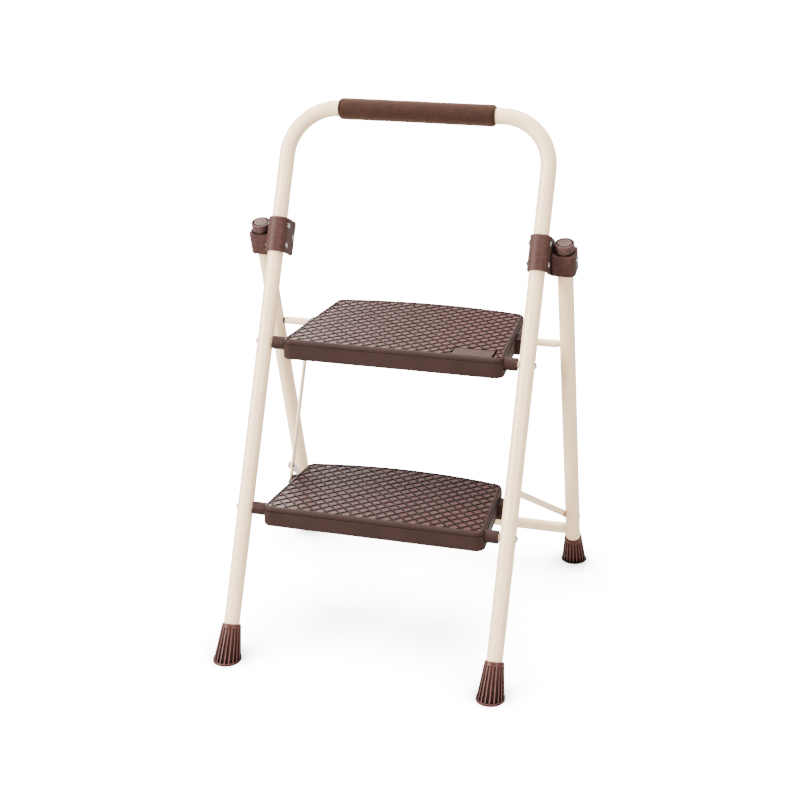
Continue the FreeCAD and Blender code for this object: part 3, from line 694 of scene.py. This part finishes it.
# %% [markdown]
# The treads are moulded in dark brown plastic with a fine eroded grain. The pocket floors are
# painted lighter, as a painted sheen, while the thin ribs and their steep flanks are painted
# dark, as painted shade. A mask by height could tell them apart, but the lattice's faces already
# carry their kind. So the lattice gets three finishes of the same plastic, one lit and two
# shaded. What light the plastic throws back is a little warm. The lower tread is painted a shade
# darker, as painted shade under the upper step.

# %% Brown plastic of the steps
WARM_GLEAM = (1.0, 0.88, 0.84, 1)
MOULD_GRAIN = dict(grain_scale=1500.0, slow_scale=240.0, slow_share=0.3)

step_plastic = finish(
    "step_plastic", ((0.0205, 0.0088, 0.0080), (0.027, 0.0125, 0.0115), (0.060, 0.030, 0.028)),
    dict(patch_scale=22.0, patch_amount=0.6, edge_reach=0.0008, edge_amount=0.5,
         crevice_reach=0.0028, crevice_amount=0.8, roughness=(0.54, 0.62),
         edge_soft=0.0004, bump=0.22, bump_depth=0.0003, **MOULD_GRAIN),
    Specular_IOR_Level=0.16, Specular_Tint=WARM_GLEAM)
print("finish:", step_plastic.name)

# %% Three looks of a pressed lattice: painted light on the floors, painted shade on flanks and ribs
# The floors are painted lighter, as a painted sheen; the flanks and rib tops are painted dark, as
# painted shade.
LIT_POCKET_COLOURS = ((0.086, 0.038, 0.0365), (0.112, 0.0505, 0.049), (0.065, 0.030, 0.029))
SHADED_FLANK_COLOURS = ((0.010, 0.0045, 0.0040), (0.014, 0.0065, 0.0058), (0.018, 0.0085, 0.0076))
SHADED_RIB_COLOURS = ((0.0150, 0.0066, 0.0060), (0.022, 0.0100, 0.0092), (0.030, 0.0140, 0.0130))
POCKET_LOOK = dict(
    patch_scale=30.0, patch_amount=0.7, edge_reach=0.0004, edge_amount=0.3,
    crevice_reach=0.0014, crevice_amount=0.6, roughness=(0.38, 0.46),
    edge_soft=0.0003, bump=0.25, bump_depth=0.0003, **MOULD_GRAIN)
FLANK_LOOK = dict(
    patch_scale=60.0, patch_amount=0.7, edge_reach=0.0002, edge_amount=0.2,
    crevice_reach=0.0016, crevice_amount=0.5, roughness=(0.55, 0.65),
    edge_soft=0.0002, bump=0.25, bump_depth=0.0003, **MOULD_GRAIN)
RIB_LOOK = dict(
    patch_scale=60.0, patch_amount=0.7, edge_reach=0.0004, edge_amount=0.5,
    crevice_reach=0.0010, crevice_amount=0.3, roughness=(0.46, 0.56),
    edge_soft=0.0004, bump=0.25, bump_depth=0.0003, **MOULD_GRAIN)
POCKET_SPECULAR = 0.24
FLANK_SPECULAR = 0.08
RIB_SPECULAR = 0.12


# %% The lattice's finishes for each tread
def tread_finishes(label, painted_light_level):
    """Floors painted light, flanks and rib tops painted shade, for one tread, in the order of
    FACE_KINDS.
    """
    def toned(colours):
        return [[part * painted_light_level for part in colour] for colour in colours]

    floors = finish(
        label + "_floors", toned(LIT_POCKET_COLOURS), POCKET_LOOK,
        Specular_IOR_Level=POCKET_SPECULAR * painted_light_level, Specular_Tint=WARM_GLEAM)
    flanks = finish(
        label + "_flanks", toned(SHADED_FLANK_COLOURS), FLANK_LOOK, Specular_IOR_Level=FLANK_SPECULAR)
    tops = finish(
        label + "_tops", toned(SHADED_RIB_COLOURS), RIB_LOOK,
        Specular_IOR_Level=RIB_SPECULAR, Specular_Tint=WARM_GLEAM)
    return floors, flanks, tops


# Each tread's colours are scaled as painted light; the lower tread's smaller share is painted
# shade under the upper step.
upper_finishes = tread_finishes("upper_tread", painted_light_level=0.88)
lower_finishes = tread_finishes("lower_tread", painted_light_level=0.66)
print("finishes:", [material.name for material in upper_finishes + lower_finishes])

# %% Smooth plastic of the bare plate, and painted shade for its groove
tile_plastic = finish(
    "tile_plastic", ((0.034, 0.0148, 0.0139), (0.046, 0.020, 0.019), (0.110, 0.055, 0.052)),
    dict(patch_scale=40.0, patch_amount=0.6, edge_reach=0.0007, edge_amount=0.6,
         crevice_reach=0.0016, crevice_amount=0.7, roughness=(0.40, 0.48),
         edge_soft=0.0003, bump=0.15, bump_depth=0.0003, **MOULD_GRAIN),
    Specular_IOR_Level=0.2, Specular_Tint=WARM_GLEAM)
# Near black, as painted shade in the groove.
groove_painted_shade = finish(
    "groove_painted_shade",
    ((0.0022, 0.0012, 0.0011), (0.003, 0.0017, 0.0015), (0.0022, 0.0012, 0.0011)),
    dict(patch_scale=60.0, patch_amount=0.5, edge_reach=0.0002, edge_amount=0.0,
         crevice_reach=0.0016, crevice_amount=0.5, roughness=(0.8, 0.9),
         edge_soft=0.0002, bump=0.1, bump_depth=0.0002, **MOULD_GRAIN),
    Specular_IOR_Level=0.02)
print("finishes:", tile_plastic.name, groove_painted_shade.name)

# %% [markdown]
# Clamps and caps come from another mould. They are a little lighter than the steps, and clouded
# where the plastic met the tool, with a painted highlight on their rims and painted shade in
# their grooves. The clouds are the same patches as on the steps, only much smaller, so they need
# no recipe of their own.

# %% Clouded plastic of clamps and caps
# The third colour is a painted highlight on the rims; the crevices get strong painted shade.
clamp_plastic = finish(
    "clamp_plastic", ((0.040, 0.0178, 0.0152), (0.066, 0.0305, 0.0275), (0.160, 0.088, 0.080)),
    dict(patch_scale=170.0, patch_amount=0.7, edge_reach=0.0011, edge_amount=0.6,
         crevice_reach=0.005, crevice_amount=0.9, roughness=(0.46, 0.58),
         grain_scale=800.0, slow_scale=150.0, slow_share=0.5,
         edge_soft=0.0008, bump=0.22, bump_depth=0.0004),
    Specular_IOR_Level=0.16, Specular_Tint=WARM_GLEAM)
cap_plastic = finish(
    "cap_plastic", ((0.034, 0.0142, 0.0125), (0.120, 0.066, 0.061), (0.095, 0.048, 0.043)),
    dict(patch_scale=330.0, patch_amount=0.9, edge_reach=0.0005, edge_amount=0.3,
         crevice_reach=0.005, crevice_amount=1.0, roughness=(0.38, 0.50),
         grain_scale=800.0, slow_scale=300.0, slow_share=0.5,
         edge_soft=0.0003, bump=0.35, bump_depth=0.0004),
    Specular_IOR_Level=0.2, Specular_Tint=WARM_GLEAM)
print("finishes:", clamp_plastic.name, cap_plastic.name)

# %% [markdown]
# The feet are dense rubber, redder and shinier than the steps, with painted shade between their
# flutes and a painted highlight on their ridges.
# The grip is foam: dull, reddish, full of tiny pores, with a soft velvety edge to it. Pores as
# real holes would take millions of faces, so they are a strong bump, and a little sheen makes
# the velvet.

# %% Rubber and foam
# The light third colour is a painted highlight on the ridges; the flutes get painted shade.
foot_rubber = finish(
    "foot_rubber", ((0.058, 0.0190, 0.0165), (0.072, 0.026, 0.023), (0.280, 0.130, 0.120)),
    dict(patch_scale=70.0, patch_amount=0.5, edge_reach=0.0014, edge_amount=0.8,
         crevice_reach=0.009, crevice_amount=1.0, roughness=(0.30, 0.36),
         grain_scale=700.0, slow_scale=130.0, slow_share=0.4,
         edge_soft=0.0006, bump=0.08, bump_depth=0.0003),
    Specular_IOR_Level=0.16, Specular_Tint=WARM_GLEAM)
grip_foam = finish(
    "grip_foam", ((0.019, 0.0082, 0.0060), (0.031, 0.0132, 0.0098), (0.045, 0.021, 0.016)),
    dict(patch_scale=80.0, patch_amount=0.8, edge_reach=0.001, edge_amount=0.1,
         crevice_reach=0.002, crevice_amount=0.4, roughness=(0.85, 0.97),
         grain_scale=1500.0, slow_scale=500.0, slow_share=0.4,
         edge_soft=0.0006, bump=0.5, bump_depth=0.0004),
    Specular_IOR_Level=0.1, Sheen_Weight=0.22, Sheen_Tint=(1.0, 0.60, 0.42, 1))
print("finishes:", foot_rubber.name, grip_foam.name)

# %% [markdown]
# Rivets and axle heads are zinc-plated steel, bright, with faint marks from the rivet tool. As
# perfect mirrors they would show the lamps as hard squares. Small dull patches break that up.

# %% Bright steel
# The dark third colour darkens the rims, as painted shade, and the crevices get painted shade
# too.
bright_steel = finish(
    "bright_steel", ((0.70, 0.69, 0.67), (0.52, 0.515, 0.50), (0.25, 0.24, 0.23)),
    dict(patch_scale=160.0, patch_amount=0.6, edge_reach=0.0006, edge_amount=0.4,
         crevice_reach=0.0015, crevice_amount=0.9, roughness=(0.16, 0.30),
         grain_scale=900.0, slow_scale=300.0, slow_share=0.5,
         edge_soft=0.0004, bump=0.3, bump_depth=0.0003),
    Metallic=1.0)
print("finish:", bright_steel.name)

# %% [markdown]
# ## Dressing the pieces
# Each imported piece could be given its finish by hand, but a word in its name says enough. The
# order of the words matters: a clamp's rivets are steel, an axle's sleeves are painted like the
# tubes, and so are the steps' links.

# %% Choose a finish by name
FINISH_BY_WORD = {
    "upper_crossbar": bar_enamel, "sleeves": ivory_enamel, "link_pin": bright_steel,
    "brace_pin": bright_steel, "rivet": bright_steel, "axle": bright_steel,
    "foot": foot_rubber, "cap": cap_plastic, "clamp": clamp_plastic,
    "link": ivory_enamel, "step": step_plastic}


def finish_for(name):
    """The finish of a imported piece, by the first of the words that its name holds."""
    for word, material in FINISH_BY_WORD.items():
        if word in name:
            return material
    return ivory_enamel


# %% Give every piece its finish
def dress(piece, *materials):
    """Give a piece its finishes, one for each kind of face that its making left."""
    kinds = [face.material_index for face in piece.data.polygons]
    piece.data.materials.clear()
    for material in materials:
        piece.data.materials.append(material)
    for face, kind in zip(piece.data.polygons, kinds):
        face.material_index = kind


for name, piece in nodes.items():
    if piece.name in bpy.data.objects:
        dress(piece, finish_for(name))
dress(grip, grip_foam)
dress(upper_tile, tile_plastic, groove_painted_shade)
dress(upper_lattice, *upper_finishes)
dress(lower_lattice, *lower_finishes)
print("finishes given by name:", sorted({finish_for(name).name for name in nodes}))

# %% [markdown]
# ## The studio
# A pale floor, a white room and large soft lamps. A catalogue's white sweep is lit on its own,
# brighter than the goods on it. The floor does this with a glow that only the camera sees, so
# that it adds no light to the stool. The glow fades where a foot stands close, which paints a
# soft shadow under each foot. To all but the camera the floor is a middle grey, as dark cloths
# beside the goods would make it, so that the tubes keep a shaded side and brown stays brown.

# %% Lay the floor
FLOOR_SIZE = 40.0
FLOOR_ROUGHNESS = 0.9

bpy.ops.mesh.primitive_plane_add(size=FLOOR_SIZE, location=(0, 0, 0))
floor = bpy.context.object
floor.name = "studio_floor"
floor_paint = bpy.data.materials.new("studio_floor_paint")
floor_paint.use_nodes = True
floor_tree = floor_paint.node_tree
floor_shader = floor_tree.nodes["Principled BSDF"]
floor_shader.inputs["Roughness"].default_value = FLOOR_ROUGHNESS
floor_shader.inputs["Emission Color"].default_value = (1, 1, 1, 1)
floor.data.materials.append(floor_paint)
print("floor:", FLOOR_SIZE, "m square")

# %% Let it glow for the camera alone
FLOOR_SEEN = (0.95, 0.95, 0.95, 1)
FLOOR_FOR_LIGHT = (0.42, 0.42, 0.42, 1)
GLOW = 16.0
GLOW_UNDER_FEET = 2.0
PAINTED_SHADOW_REACH = 0.25
PAINTED_SHADOW_DEEPEST = 0.72
PAINTED_SHADOW_SAMPLES = 16

to_camera = floor_tree.nodes.new("ShaderNodeLightPath").outputs["Is Camera Ray"]
openness = floor_tree.nodes.new("ShaderNodeAmbientOcclusion")
openness.samples = PAINTED_SHADOW_SAMPLES
openness.inputs["Distance"].default_value = PAINTED_SHADOW_REACH
# Where the floor sees little sky near a foot, the glow is dimmed: a painted contact shadow.
painted_shadow_fade = mapped(
    floor_tree, openness.outputs["AO"], start=PAINTED_SHADOW_DEEPEST, low=GLOW_UNDER_FEET, high=GLOW)
glow = math_of(floor_tree, "MULTIPLY", to_camera, painted_shadow_fade)
floor_tree.links.new(glow, floor_shader.inputs["Emission Strength"])
seen = mix_of(floor_tree, "RGBA", to_camera, FLOOR_FOR_LIGHT, FLOOR_SEEN)
floor_tree.links.new(seen, floor_shader.inputs["Base Color"])
print("floor's glow:", GLOW, "in the open and at least", GLOW_UNDER_FEET, "under the feet")

# %% The room, white to the camera and dimmer to the stool
DAYLIGHT = (1.0, 0.965, 0.925)
ROOM_LIGHT = 0.85

room = bpy.data.worlds.new("white_room")
room.use_nodes = True
air = room.node_tree.nodes["Background"]
air.inputs["Color"].default_value = (*DAYLIGHT, 1)
looked_at = room.node_tree.nodes.new("ShaderNodeLightPath").outputs["Is Camera Ray"]
strength = mapped(room.node_tree, looked_at, low=ROOM_LIGHT, high=GLOW)
room.node_tree.links.new(strength, air.inputs["Strength"])
bpy.context.scene.world = room
print("room:", room.name)

# %% [markdown]
# The big lamp on the left gives each tube a bright side, and one low behind puts a sheen on the
# treads. The one overhead fills the treads, and a weak warm one on the right opens the shadows.
# Point lamps would be simpler, but their shadows have hard edges. Wide squares cast soft ones.

# %% Lamps
LATE_SUN = (1.0, 0.92, 0.83)
MIDDLE = (0, 0, 0.4)
# Each lamp's name, place, aim, side in metres, power in watts and colour.
LAMPS = (
    ("window_left", (-2.6, -2.0, 1.8), MIDDLE, 2.0, 380, DAYLIGHT),
    ("back_left", (-2.2, 2.8, 1.7), (-0.1, 0, 0.5), 1.6, 230, DAYLIGHT),
    ("overhead", (0.1, 0.4, 3.2), MIDDLE, 2.4, 240, DAYLIGHT),
    ("fill_right", (2.4, -2.4, 1.4), MIDDLE, 1.6, 110, LATE_SUN))

for name, place, aim, side, power, colour in LAMPS:
    light = bpy.data.lights.new(name, "AREA")
    light.shape = "SQUARE"
    light.size = side
    light.energy = power
    light.color = colour
    lamp = bpy.data.objects.new(name, light)
    bpy.context.scene.collection.objects.link(lamp)
    lamp.location = place
    lamp.rotation_euler = (Vector(aim) - Vector(place)).to_track_quat("-Z", "Y").to_euler()
print("lamps:", len(LAMPS))
